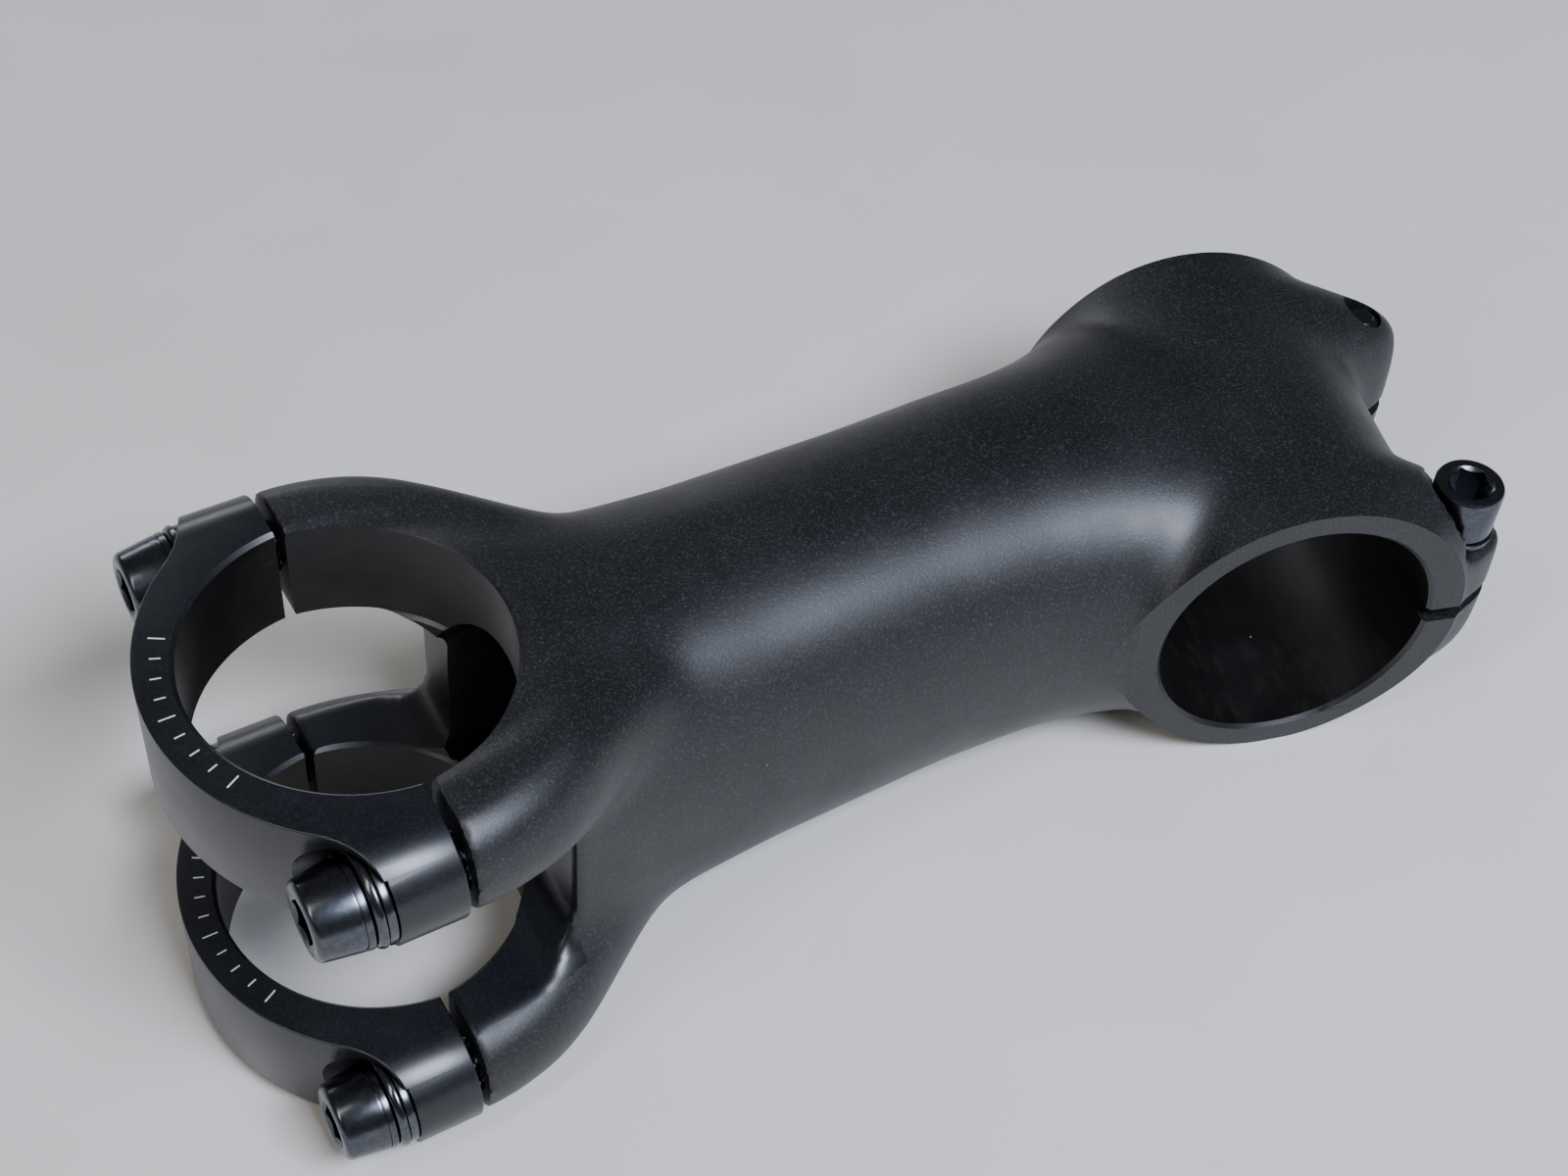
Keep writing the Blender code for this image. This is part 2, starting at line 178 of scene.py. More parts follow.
def place_ring(piece: bpy.types.Object, before: Ring, after: Ring) -> None:
    """Move the selected face's corners from one ring's points to the next one's.

    Args:
        piece: The piece, which is being edited.
        before: Where the corners are.
        after: Where they go, in the same order.
    """
    mesh = bmesh.from_edit_mesh(piece.data)
    corners = [vert for vert in mesh.verts if vert.select]
    old = [Vector(point) for point in before]
    for vert in corners:
        nearest = min(range(len(old)), key=lambda i: (old[i] - vert.co).length_squared)
        vert.co = after[nearest]
    bmesh.update_edit_mesh(piece.data)


def swept(name: str, rings: Sequence[Ring]) -> bpy.types.Object:
    """Extrude a filled ring through a row of others into one closed skin.

    Args:
        name: The new object's name.
        rings: The rings' points, all with the same count and starting at matching places.

    Returns:
        The closed piece, in the frame that the rings are drawn in.
    """
    deselect_all()
    count = len(rings[0])
    bpy.ops.mesh.primitive_circle_add(vertices=count, radius=MM, fill_type="NGON", enter_editmode=True)
    piece = bpy.context.active_object
    piece.name = piece.data.name = name
    start = [tuple(vert.co) for vert in bmesh.from_edit_mesh(piece.data).verts]
    place_ring(piece, start, rings[0])
    for before, after in zip(rings, rings[1:]):
        bpy.ops.mesh.extrude_region_move()
        place_ring(piece, before, after)
    bpy.ops.mesh.select_all(action="SELECT")
    bpy.ops.mesh.normals_make_consistent(inside=False)
    bpy.ops.object.mode_set(mode="OBJECT")
    return piece


def block(name: str, low: Point, high: Point) -> bpy.types.Object:
    """A box between two corners."""
    outline = [(low[1], low[2]), (high[1], low[2]), (high[1], high[2]), (low[1], high[2])]
    return swept(name, [[(along, y, z) for y, z in outline] for along in (low[0], high[0])])


def settle(piece: bpy.types.Object, place: Matrix) -> bpy.types.Object:
    """Put a piece where a frame says and apply that, so that its object stays at the origin.

    Args:
        piece: The piece.
        place: The frame that it was drawn in.

    Returns:
        The same piece.
    """
    activate(piece)
    piece.matrix_world = place
    bpy.ops.object.transform_apply(location=True, rotation=True, scale=True)
    return piece


def apply_modifier(piece: bpy.types.Object, kind: str, **settings: object) -> None:
    """Add a modifier to a piece and apply it.

    Args:
        piece: The piece.
        kind: The modifier's type.
        settings: The modifier's own settings.
    """
    activate(piece)
    modifier = piece.modifiers.new(kind.lower(), kind)
    for name, value in settings.items():
        setattr(modifier, name, value)
    bpy.ops.object.modifier_apply(modifier=modifier.name)


def carve(piece: bpy.types.Object, cutter: bpy.types.Object, operation: str = "DIFFERENCE",
          solver: Solver = Solver.MANIFOLD) -> None:
    """Cut a piece with a cutter, or trim it to it, and throw the cutter away.

    Args:
        piece: The piece.
        cutter: A closed shape.
        operation: DIFFERENCE to cut, or INTERSECT to trim.
        solver: How the cut is worked out.
    """
    apply_modifier(piece, "BOOLEAN", object=cutter, operation=operation, solver=solver.value)
    bpy.data.objects.remove(cutter)


def soften_edges(piece: bpy.types.Object, width: float, segments: int = 3, angle: float = 40.0) -> None:
    """Round a piece's sharp edges."""
    apply_modifier(piece, "BEVEL", width=width, segments=segments, limit_method="ANGLE",
                   angle_limit=math.radians(angle))


def shade(piece: bpy.types.Object, angle: float = 32.0) -> None:
    """Shade a piece smooth, but for its sharp edges."""
    activate(piece)
    bpy.ops.object.shade_smooth_by_angle(angle=math.radians(angle))


def join(pieces: Sequence[bpy.types.Object]) -> bpy.types.Object:
    """Join pieces into the first of them.

    Args:
        pieces: The pieces.

    Returns:
        The first one, which now holds them all.
    """
    activate(pieces[0])
    for piece in pieces:
        piece.select_set(True)
    bpy.ops.object.join()
    return pieces[0]


def copy_of(piece: bpy.types.Object, name: str) -> bpy.types.Object:
    """Copy a piece together with its mesh.

    Args:
        piece: The piece.
        name: The copy's name.

    Returns:
        The copy.
    """
    twin = piece.copy()
    twin.data = piece.data.copy()
    twin.name = twin.data.name = name
    bpy.context.scene.collection.objects.link(twin)
    return twin


def paint(piece: bpy.types.Object, *materials: bpy.types.Material) -> None:
    """Give a piece these materials and no others, and all its faces the first.

    Args:
        piece: The piece.
        materials: Its materials.
    """
    piece.data.materials.clear()
    for material in materials:
        piece.data.materials.append(material)
    for face in piece.data.polygons:
        face.material_index = 0


def hand_over(piece: bpy.types.Object, node: str, body: str) -> None:
    """Let a finished piece stand for its CAD node and ride on its body.

    Args:
        piece: The piece.
        node: The CAD node.
        body: The body that carries it.
    """
    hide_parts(node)
    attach(piece, body)
    LOG.info("%s: %d faces, rides on %s", piece.name, len(piece.data.polygons), body)


# --- Finishes.


def linear(color: str) -> tuple[float, float, float, float]:
    """Turn an sRGB hex color into linear values.

    Args:
        color: The color, with its leading mark.

    Returns:
        Its linear red, green and blue, and full alpha.
    """
    values = []
    for start in (1, 3, 5):
        value = int(color[start:start + 2], 16) / 255
        values.append(value / 12.92 if value <= 0.04045 else ((value + 0.055) / 1.055) ** 2.4)
    return (*values, 1.0)


def add_node(tree: bpy.types.NodeTree, kind: str, sockets: dict | None = None,
             **settings: object) -> bpy.types.Node:
    """Add a node to a material.

    Args:
        tree: The material's nodes.
        kind: The node's type.
        sockets: What each input gets, by its name or number: a value, or another node's output.
        settings: The node's own settings.

    Returns:
        The new node.
    """
    node = tree.nodes.new(kind)
    for name, value in settings.items():
        setattr(node, name, value)
    for name, value in (sockets or {}).items():
        if isinstance(value, bpy.types.NodeSocket):
            tree.links.new(value, node.inputs[name])
        else:
            node.inputs[name].default_value = value
    return node


def ramp(tree: bpy.types.NodeTree, fac: bpy.types.NodeSocket,
         stops: Sequence[tuple[float, str]]) -> bpy.types.NodeSocket:
    """Turn a value into a color.

    Args:
        tree: The material's nodes.
        fac: The value.
        stops: The ramp's places and the hex color at each.

    Returns:
        The color.
    """
    node = add_node(tree, "ShaderNodeValToRGB", {"Fac": fac})
    elements = node.color_ramp.elements
    while len(elements) < len(stops):
        elements.new(0.5)
    for element, (place, color) in zip(elements, stops):
        element.position = place
        element.color = linear(color)
    return node.outputs["Color"]


def pattern(tree: bpy.types.NodeTree, size: float, detail: float = 3.0,
            stretch: Point = (1.0, 1.0, 1.0)) -> bpy.types.NodeSocket:
    """Noise on Object coordinates.

    Args:
        tree: The material's nodes.
        size: About how large its features are, in metres.
        detail: How many finer layers it has.
        stretch: How much denser it is along each axis.

    Returns:
        The noise, from 0 to 1.
    """
    coords = add_node(tree, "ShaderNodeTexCoord").outputs["Object"]
    if stretch != (1.0, 1.0, 1.0):
        coords = add_node(tree, "ShaderNodeMapping", {"Vector": coords, "Scale": stretch}).outputs["Vector"]
    sockets = {"Vector": coords, "Scale": 1 / size, "Detail": detail, "Roughness": 0.6}
    return add_node(tree, "ShaderNodeTexNoise", sockets).outputs["Fac"]


def dusted(tree: bpy.types.NodeTree, color: bpy.types.NodeSocket, share: float) -> bpy.types.NodeSocket:
    """Lay sparse pale specks of dust over a color.

    Args:
        tree: The material's nodes.
        color: The clean color.
        share: Share of the 4 mm cells that hold a speck.

    Returns:
        The dusted color.
    """
    coords = add_node(tree, "ShaderNodeTexCoord").outputs["Object"]
    cell = add_node(tree, "ShaderNodeTexVoronoi", {"Vector": coords, "Scale": 1 / (4 * MM)})
    chance = add_node(tree, "ShaderNodeSeparateColor", {"Color": cell.outputs["Color"]}).outputs[0]
    size = add_node(tree, "ShaderNodeMapRange", {"Value": chance, "From Min": 0.0, "From Max": share,
                                                 "To Min": 0.035, "To Max": 0.0}).outputs[0]
    mask = add_node(tree, "ShaderNodeMath", {0: cell.outputs["Distance"], 1: size}, operation="LESS_THAN")
    sockets = {0: mask.outputs[0], 6: color, 7: linear("#a09d96")}
    return add_node(tree, "ShaderNodeMix", sockets, data_type="RGBA").outputs[2]


@dataclass(frozen=True)
class BlackMetal:
    """A black finish over metal: its grain, its gloss and the dust on it.

    Attributes:
        name: The material's name, for its real finish and the light painted into some of its colours.
        shades: Hex colors of its darkest, usual and brightest grains; the blasted and satin ones carry
            painted light in their blue tint.
        metallic: 1 where the light meets bare or thinly oxidised metal, 0 under anodising.
        roughness: Lowest and highest roughness, which change over a few millimetres.
        grain: Size of the surface's grain.
        relief: Height of the grain.
        dust: Share of the surface's 4 mm cells that hold a pale speck of dust.
        stretch: How much the grain is drawn out along each axis.
    """

    name: str
    shades: tuple[str, str, str]
    metallic: float
    roughness: tuple[float, float]
    grain: float
    relief: float
    dust: float = 0.0
    stretch: Point = (1.0, 1.0, 1.0)

    def make(self) -> bpy.types.Material:
        """Build the material.

        Returns:
            The new material.
        """
        material = bpy.data.materials.new(self.name)
        material.use_nodes = True
        tree = material.node_tree
        shader = tree.nodes["Principled BSDF"]
        grain = pattern(tree, self.grain, 4.0, self.stretch)
        cloud = pattern(tree, 9 * MM)
        # The base colour follows the grain; in the blasted finish its brightest, bluish grains are painted
        # glitter and sheen, and the satin finish's blue tint is a painted sky reflection.
        color = ramp(tree, grain, list(zip((0.36, 0.52, 0.68), self.shades)))
        if self.dust:
            color = dusted(tree, color, self.dust)
        low, high = self.roughness
        rough = add_node(tree, "ShaderNodeMapRange", {"Value": cloud, "From Min": 0.35, "From Max": 0.65,
                                                      "To Min": low, "To Max": high}).outputs[0]
        bump = add_node(tree, "ShaderNodeBump", {"Height": grain, "Distance": self.relief, "Strength": 1.0})
        tree.links.new(color, shader.inputs["Base Color"])
        tree.links.new(rough, shader.inputs["Roughness"])
        tree.links.new(bump.outputs["Normal"], shader.inputs["Normal"])
        shader.inputs["Metallic"].default_value = self.metallic
        if not self.metallic:
            shader.inputs["IOR"].default_value = 1.62
        return material


# Shot-blasted forged aluminium, anodised black: a matte skin whose grain glitters in the light; its
# brightest, bluish grains are painted glitter and a painted bluish sheen.
BLASTED_WITH_PAINTED_GLITTER = BlackMetal("blasted_anodised_aluminium", ("#050506", "#0a0b0d", "#2e3238"), 0.0, (0.42, 0.50),
                     0.26 * MM, 0.018 * MM, 0.06)
# Machined aluminium, anodised black: smoother, with a satin sheen and only a trace of grain; the cool blue
# tint of its colour is a painted sky reflection.
SATIN_WITH_PAINTED_SKY_TINT = BlackMetal("satin_anodised_aluminium", ("#06080b", "#0b0e13", "#181c22"), 0.0, (0.30, 0.36),
                   0.28 * MM, 0.004 * MM, 0.06)
# Bored aluminium, anodised black: fine turned rings run round the wall and stretch its highlights.
BORED = BlackMetal("bored_anodised_aluminium", ("#060606", "#0b0a0a", "#171513"), 0.0, (0.34, 0.44),
                   0.45 * MM, 0.006 * MM, 0.15, (0.12, 0.12, 1.6))
# Black-oxide steel, oiled: glossy, with bright strips where it faces a light and faint turning marks.
OXIDE = BlackMetal("oiled_black_oxide_steel", ("#505257", "#585b61", "#61656b"), 1.0, (0.22, 0.28),
                   0.5 * MM, 0.001 * MM)
# Zinc-plated steel, blackened: a little lighter and glossier than the bolts.
PLATED = BlackMetal("blackened_plated_steel", ("#565960", "#5f6267", "#696c72"), 1.0, (0.20, 0.26),
                    0.5 * MM, 0.001 * MM)


@dataclass(frozen=True)
class Plain:
    """A finish with soft mottling and no grain.

    Attributes:
        name: The material's name.
        shades: Hex colors of its darker and its lighter patches.
        roughness: Its roughness.
        patch: Size of the patches.
    """

    name: str
    shades: tuple[str, str]
    roughness: float
    patch: float

    def make(self) -> bpy.types.Material:
        """Build the material.

        Returns:
            The new material.
        """
        material = bpy.data.materials.new(self.name)
        material.use_nodes = True
        tree = material.node_tree
        shader = tree.nodes["Principled BSDF"]
        patches = pattern(tree, self.patch)
        tree.links.new(ramp(tree, patches, list(zip((0.35, 0.65), self.shades))), shader.inputs["Base Color"])
        shader.inputs["Roughness"].default_value = self.roughness
        return material


# Laser-marked anodising: the dye is burnt out, which leaves a chalky off-white line.
LASER_MARK = Plain("laser_marked_anodising", ("#cfd0cc", "#e6e6e2"), 0.6, 0.3 * MM)
# Matte studio board: pale and even.
STUDIO_BOARD = Plain("pale_studio_board", ("#dcd8d1", "#e2dfd9"), 0.9, 60 * MM)


# --- Sizes and frames.


@dataclass(frozen=True)
class Sizes:
    """The stem's driving dimensions, the same as the CAD model's.

    Attributes:
        reach: Handlebar axis to steerer axis, along the arm.
        arm_angle: Angle between the arm and the square to the steerer.
        arm_offset: How far past the clamp's mid-plane the arm's axis meets the steerer's.
        steerer_bore: Radius of the steerer's bore.
        bar_bore: Radius of the handlebar's bore.
        clamp_half: Half the steerer clamp's length.
        half_width: Half the width over both rings.
        ring_width: Width of each ring.
        chamfer: Width of the bores' chamfers.
        split_body: Where the body's half rings end, along the arm.
        split_cap: Where the caps end.
        draw_in: How far each cap is drawn in from where it sits round a handlebar.
        cap_bolt_offset: Cap bolt axes from the arm's axis.
        boss_face: Where the washers' seats are, along the arm.
        boss_end: Half the width over both of a cap's bosses.
        barrel: Outer radius of the steerer clamp.
        lug_x: Steerer bolt axes, behind the steerer's axis.
        lug_y: Steerer bolt axes, from the clamp's mid-plane.
        lug_back: Back of the lugs, behind the steerer's axis.
        lug_seat: Height of the steerer bolts' seats above the split.
        slot_half: Half the split's width.
        clearance: Gap round a bolt in its hole.
    """

    reach: float = 100.0 * MM
    arm_angle: float = math.radians(17.0)
    arm_offset: float = 4.6 * MM
    steerer_bore: float = 14.3 * MM
    bar_bore: float = 15.9 * MM
    clamp_half: float = 20.0 * MM
    half_width: float = 21.75 * MM
    ring_width: float = 11.7 * MM
    chamfer: float = 0.4 * MM
    split_body: float = 1.9 * MM
    split_cap: float = 1.0 * MM
    draw_in: float = 2.6 * MM
    cap_bolt_offset: float = 20.4 * MM
    boss_face: float = -5.2 * MM
    boss_end: float = 25.0 * MM
    barrel: float = 17.2 * MM
    lug_x: float = 18.4 * MM
    lug_y: float = 14.0 * MM
    lug_back: float = 22.9 * MM
    lug_seat: float = 6.4 * MM
    slot_half: float = 0.9 * MM
    clearance: float = 0.3 * MM

    @property
    def window_half(self) -> float:
        """Half the gap between the two rings."""
        return self.half_width - self.ring_width

    @property
    def ring_mid(self) -> float:
        """Height of a ring's middle from the clamp's."""
        return self.half_width - self.ring_width / 2

    @property
    def stem_frame(self) -> Matrix:
        """The stem frame, found from the CAD body's box."""
        low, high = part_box("stem_body")
        place = (high[0] - self.lug_back, high[1] - self.clamp_half, (low[2] + high[2]) / 2)
        return Matrix.Translation(place)

    @property
    def arm_frame(self) -> Matrix:
        """The arm frame."""
        x = -self.reach * math.cos(self.arm_angle)
        y = self.arm_offset - self.reach * math.sin(self.arm_angle)
        return self.stem_frame @ Matrix.Translation((x, y, 0)) @ Matrix.Rotation(self.arm_angle, 4, "Z")

    @property
    def steerer_frame(self) -> Matrix:
        """A frame whose first axis is the steerer's."""
        return self.stem_frame @ Matrix.Rotation(math.pi / 2, 4, "Z")

    def in_arm(self, place: Matrix) -> Matrix:
        """A frame as the arm frame sees it."""
        return self.arm_frame.inverted() @ place

    def ring_frame(self, level: Level) -> Matrix:
        """The arm frame, moved to the middle of one ring."""
        return self.arm_frame @ Matrix.Translation((0, 0, level.value * self.ring_mid))

    def cap_bolt_frame(self, level: Level, side: Side) -> Matrix:
        """A frame on a cap bolt's axis, whose first axis points into the body."""
        return self.ring_frame(level) @ Matrix.Translation((0, side.value * self.cap_bolt_offset, 0))

    def steerer_bolt_frame(self, side: Side) -> Matrix:
        """A frame on a steerer bolt's axis, whose first axis points out of its head."""
        turn = Matrix.Rotation(side.value * math.pi / 2, 4, "Y")
        return self.stem_frame @ Matrix.Translation((self.lug_x, side.value * self.lug_y, 0)) @ turn


SIZES = Sizes()


# --- The forging.


@dataclass
class Forging:
    """The stem's body: arm, prongs, barrel and lugs under one skin, then machined.

    Attributes:
        skin: Voxel size of the first skin, which is smoothed until its parts run into each other.
        fine_skin: Voxel size of the second skin, which rounds the machined edges a little.
        blend: How far the first smoothing spreads.
        round_over: How far the second smoothing spreads.
        window_end: Where the window between the rings ends, along the arm.
        window_corner: Radius of the window's corners.
        seat: Radius of the steerer bolts' seats.
        hole_end: How far the cap bolts' holes run past the bolts.
    """

    skin: float = 0.65 * MM
    fine_skin: float = 0.5 * MM
    blend: float = 5.6 * MM
    round_over: float = 1.4 * MM
    window_end: float = 14.6 * MM
    window_corner: float = 5.5 * MM
    seat: float = 4.65 * MM
    hole_end: float = 1.6 * MM

    def arm(self) -> bpy.types.Object:
        """Draw the arm, which widens to the rings' width at the handlebar end.

        Returns:
            The arm, closed at both ends.
        """
        stations = (
            # along, across, half height, half width, power
            (-3.0, 0.0, 17.0, 22.6, 5.0),
            (8.0, 0.0, 17.0, 22.6, 4.6),
            (15.0, 0.0, 16.8, 21.9, 3.8),
            (21.0, 0.0, 16.5, 20.6, 3.1),
            (28.0, 0.0, 16.3, 19.2, 2.6),
            (38.0, 0.0, 16.2, 18.5, 2.4),
            (58.0, 0.0, 16.1, 18.1, 2.3),
            (69.0, -0.2, 16.6, 18.0, 2.3),
            (76.0, -1.0, 17.5, 17.9, 2.3),
            (82.0, -2.0, 19.4, 17.7, 2.3),
            (88.0, -2.6, 22.2, 17.4, 2.3),
            (100.0, -2.0, 23.0, 15.0, 2.3),
        )
        rings = [oval(s * MM, a * MM, b * MM, power, (n * MM, 0.0)) for s, n, a, b, power in stations]
        return swept("arm", rings)

    def prongs(self) -> list[bpy.types.Object]:
        """Draw the four rounded prongs that run out of the arm to the cap bolts.

        Returns:
            The prongs.
        """
        stations = (
            # along, across, up, half height, half width
            (-4.0, 19.1, 15.9, 5.9, 6.2),
            (5.0, 18.6, 15.9, 6.0, 6.3),
            (10.0, 17.3, 15.7, 6.1, 6.4),
            (14.0, 15.4, 15.2, 6.1, 6.5),
            (18.0, 12.8, 14.3, 6.0, 6.5),
            (23.0, 9.8, 12.9, 5.7, 6.3),
            (28.0, 7.4, 11.4, 5.3, 5.9),
            (35.0, 5.2, 9.8, 4.4, 5.2),
        )
        made = []
        for side in Side:
            for level in Level:
                rings = []
                for s, n, z, a, b in stations:
                    middle = (side.value * n * MM, level.value * z * MM)
                    rings.append(oval(s * MM, a * MM, b * MM, 2.1, middle, 40))
                made.append(swept("prong", rings))
        return made

    def barrel(self) -> list[bpy.types.Object]:
        """Draw the steerer clamp's barrel and its two lugs, longer than they end up.

        Returns:
            The barrel and the lugs.
        """
        half = SIZES.clamp_half + 4 * MM
        barrel = swept("barrel", circles([(-half, SIZES.barrel), (half, SIZES.barrel)], 96))
        settle(barrel, SIZES.in_arm(SIZES.steerer_frame))
        stations = (
            # along, from the clamp's mid-plane, half length, half height
            (1.0, 13.4, 6.8, 16.4),
            (5.0, 13.5, 6.8, 16.6),
            (9.0, 13.7, 6.6, 15.8),
            (12.0, 13.9, 6.3, 14.8),
            (14.5, 14.0, 5.9, 13.8),
            (17.5, 14.0, 5.4, 12.4),
            (20.2, 14.0, 4.7, 11.2),
            (22.2, 14.0, 3.2, 10.2),
            (23.4, 14.0, 1.8, 9.0),
        )
        made = [barrel]
        for side in Side:
            rings = []
            for x, y, half_length, half_height in stations:
                middle = (side.value * y * MM, 0.0)
                rings.append(oval(x * MM, half_length * MM, half_height * MM, 3.2, middle, 48))
            made.append(settle(swept("lug", rings), SIZES.in_arm(SIZES.stem_frame)))
        return made

    def skin_over(self, body: bpy.types.Object, voxel: float, spread: float) -> None:
        """Put one new skin round a body and smooth it.

        Args:
            body: The piece, which may be several closed shapes that overlap.
            voxel: The skin's mesh size.
            spread: How far the smoothing reaches.
        """
        apply_modifier(body, "REMESH", mode="VOXEL", voxel_size=voxel, use_smooth_shade=True)
        apply_modifier(body, "SMOOTH", factor=0.5, iterations=round((spread / voxel) ** 2))

    def trim(self, body: bpy.types.Object) -> None:
        """Machine the rings' flat faces, the window between them, the lugs' back and their seats.

        Args:
            body: The body, in the arm frame.
        """
        far, width = 60 * MM, SIZES.half_width
        to_stem = SIZES.in_arm(SIZES.stem_frame)
        carve(body, block("above", (-far, -far, width), (far, far, far)))
        carve(body, block("below", (-far, -far, -far), (far, far, -width)))
        carve(body, block("front", (-far, -far, -far), (SIZES.split_body, far, far)))
        carve(body, settle(block("back", (SIZES.lug_back, -far, -far), (far, far, far)), to_stem))

        end, half, r = self.window_end, SIZES.window_half, self.window_corner
        outline = [(-10 * MM, -half)] + arc((end - r, -half + r), r, -90, 0, 12)
        outline += arc((end - r, half - r), r, 0, 90, 12) + [(-10 * MM, half)]
        carve(body, swept("window", [[(s, n, z) for s, z in outline] for n in (-far, far)]))

        start = SIZES.lug_x - 1.2 * MM
        for side in Side:
            pocket = swept("pocket", circles([(SIZES.lug_seat, self.seat), (far, self.seat)]))
            carve(body, settle(pocket, SIZES.in_arm(SIZES.steerer_bolt_frame(side))))
            low, high = sorted((side.value * SIZES.lug_y, side.value * far))
            bottom, top = sorted((-side.value * SIZES.lug_seat, -side.value * far))
            carve(body, settle(block("open_side", (start, low, bottom), (far, high, top)), to_stem))

    def face_ends(self, body: bpy.types.Object) -> None:
        """Machine the barrel's two flat ends, whose edges stay crisp; the near one runs out along the arm.

        Args:
            body: The body, in the arm frame.
        """
        far, half = 60 * MM, SIZES.clamp_half
        to_stem = SIZES.in_arm(SIZES.stem_frame)
        carve(body, settle(block("beyond", (-23 * MM, half, -far), (far, far, far)), to_stem))
        outline = [(-26 * MM, -far), (far, -far), (far, -half), (-17 * MM, -half)]
        outline.append((-26 * MM, -half - 0.75 * MM))
        carve(body, settle(swept("before", [[(x, y, z) for x, y in outline] for z in (-far, far)]), to_stem))

    def bore(self, body: bpy.types.Object) -> None:
        """Cut the bores with their chamfers, the hollow in the arm, the split and the bolt holes.

        Args:
            body: The body, in the arm frame.
        """
        far, edge = 40 * MM, SIZES.chamfer
        r, width, gap = SIZES.bar_bore, SIZES.half_width, SIZES.window_half
        half_profile = [(0.0, r), (gap - edge, r), (gap, r + edge), (gap + edge, r), (width - edge, r),
                        (width, r + edge), (far, r + edge)]
        profile = [(-along, radius) for along, radius in reversed(half_profile[1:])] + half_profile
        turn = Matrix.Rotation(-math.pi / 2, 4, "Y")
        carve(body, settle(swept("bar_bore", circles(profile, 160)), turn))

        profile = chamfered(SIZES.steerer_bore, SIZES.clamp_half, edge, far)
        bore = swept("steerer_bore", circles(profile, 144))
        carve(body, settle(bore, SIZES.in_arm(SIZES.steerer_frame)))

        stations = (
            # along, half height, half width
            (6.0, 10.2, 14.4),
            (18.0, 10.6, 14.2),
            (36.0, 11.2, 13.2),
            (66.0, 11.0, 12.6),
            (76.0, 9.6, 11.0),
            (80.0, 6.0, 7.0),
        )
        carve(body, swept("hollow", [oval(s * MM, a * MM, b * MM, 2.3, count=96) for s, a, b in stations]))

        slot = block("slot", (10 * MM, -far, -SIZES.slot_half), (far, far, SIZES.slot_half))
        carve(body, settle(slot, SIZES.in_arm(SIZES.stem_frame)))
        steerer_hole = SteererBolts.shank + SIZES.clearance
        hole, depth = CapBolts.shank + SIZES.clearance, CapBolts.end + self.hole_end
        for side in Side:
            drill = swept("drill", circles([(-far, steerer_hole), (SIZES.lug_seat + MM, steerer_hole)], 48))
            carve(body, settle(drill, SIZES.in_arm(SIZES.steerer_bolt_frame(side))))
            for level in Level:
                profile = [(-5 * MM, hole), (depth - hole / 2, hole), (depth, hole / 4)]
                drill = swept("drill", circles(profile, 48))
                carve(body, settle(drill, SIZES.in_arm(SIZES.cap_bolt_frame(level, side))))

    def dress(self, body: bpy.types.Object, outside: bpy.types.Material, bored: bpy.types.Material,
              cut: bpy.types.Material) -> None:
        """Give the bores and the window's walls their machined finishes, and the rest the blasted one.

        Args:
            body: The finished body, in the arm frame.
            outside: The forged skin's material.
            bored: The bores' material.
            cut: The milled window's material.
        """
        paint(body, outside, bored, cut)
        to_steerer = SIZES.in_arm(SIZES.steerer_frame).inverted()
        near, inside = 0.05 * MM, 0.01 * MM
        for face in body.data.polygons:
            middle = face.center
            from_steerer = to_steerer @ middle
            off_steerer = math.hypot(from_steerer.y, from_steerer.z) - SIZES.steerer_bore
            in_barrel = abs(from_steerer.x) < SIZES.clamp_half - inside and from_steerer.z < SIZES.clamp_half
            off_bar = math.hypot(middle.x, middle.y) - SIZES.bar_bore
            in_ring = abs(middle.z) < SIZES.half_width - inside and middle.x < SIZES.bar_bore + 0.3 * MM
            before_end = middle.x < self.window_end + 0.3 * MM
            if off_steerer < SIZES.chamfer + near and in_barrel:
                face.material_index = 1
            elif off_bar < near and in_ring:
                face.material_index = 1
            elif before_end and abs(middle.z) < SIZES.window_half + 0.3 * MM:
                face.material_index = 2

    def build(self) -> None:
        """Make the body."""
        body = join([self.arm(), *self.prongs(), *self.barrel()])
        body.name = body.data.name = "forged_body"
        self.skin_over(body, self.skin, self.blend)
        self.trim(body)
        self.skin_over(body, self.fine_skin, self.round_over)
        self.face_ends(body)
        self.bore(body)
        self.dress(body, BLASTED_WITH_PAINTED_GLITTER.make(), BORED.make(), SATIN_WITH_PAINTED_SKY_TINT.make())
        settle(body, SIZES.arm_frame)
        shade(body)
        hand_over(body, "stem_body", "stem")


# --- The caps.


